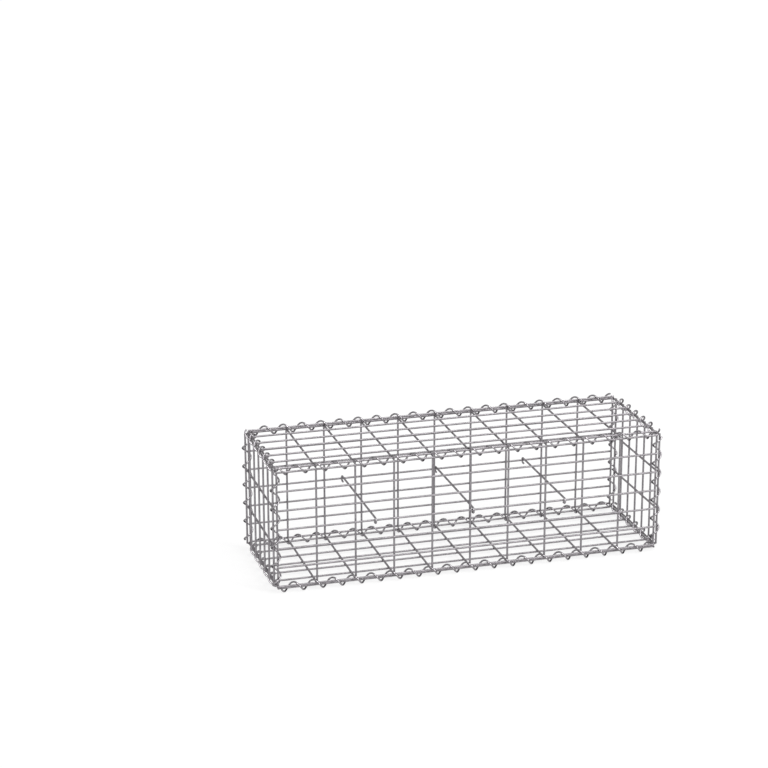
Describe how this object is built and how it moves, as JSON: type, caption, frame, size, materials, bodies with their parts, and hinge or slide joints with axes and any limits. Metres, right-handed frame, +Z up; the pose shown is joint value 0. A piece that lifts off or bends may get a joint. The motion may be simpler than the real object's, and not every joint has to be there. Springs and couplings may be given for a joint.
{
  "type": "gabion basket",
  "caption": "Empty welded-wire gabion basket for a stone-filled wall: mesh panels laced along every edge by wire spirals, with hooked cross ties.",
  "frame": {"origin": "bottom centre of the basket, on the floor under its lowest lacing spirals", "axes": "+X along the length, +Z up, the front faces -Y"},
  "size_m": [1.041, 0.3384, 0.339],
  "materials": {
    "mesh_zinc": "hot-dip galvanised, dull",
    "spiral_zinc": "galvanised, bright",
    "tie_zinc": "galvanised, dull"
  },
  "bodies": {
    "root": {"back_left_spiral": "spiral_zinc", "back_panel": "mesh_zinc", "back_right_spiral": "spiral_zinc", "base_back_spiral": "spiral_zinc", "base_front_spiral": "spiral_zinc", "base_left_spiral": "spiral_zinc", "base_panel": "mesh_zinc", "base_right_spiral": "spiral_zinc", "front_left_spiral": "spiral_zinc", "front_panel": "mesh_zinc", "front_right_spiral": "spiral_zinc", "left_end_panel": "mesh_zinc", "left_tie": "tie_zinc", "lid_back_spiral": "spiral_zinc", "lid_front_spiral": "spiral_zinc", "lid_left_spiral": "spiral_zinc", "lid_panel": "mesh_zinc", "lid_right_spiral": "spiral_zinc", "middle_tie": "tie_zinc", "right_end_panel": "mesh_zinc", "right_tie": "tie_zinc"}
  },
  "joints": []
}
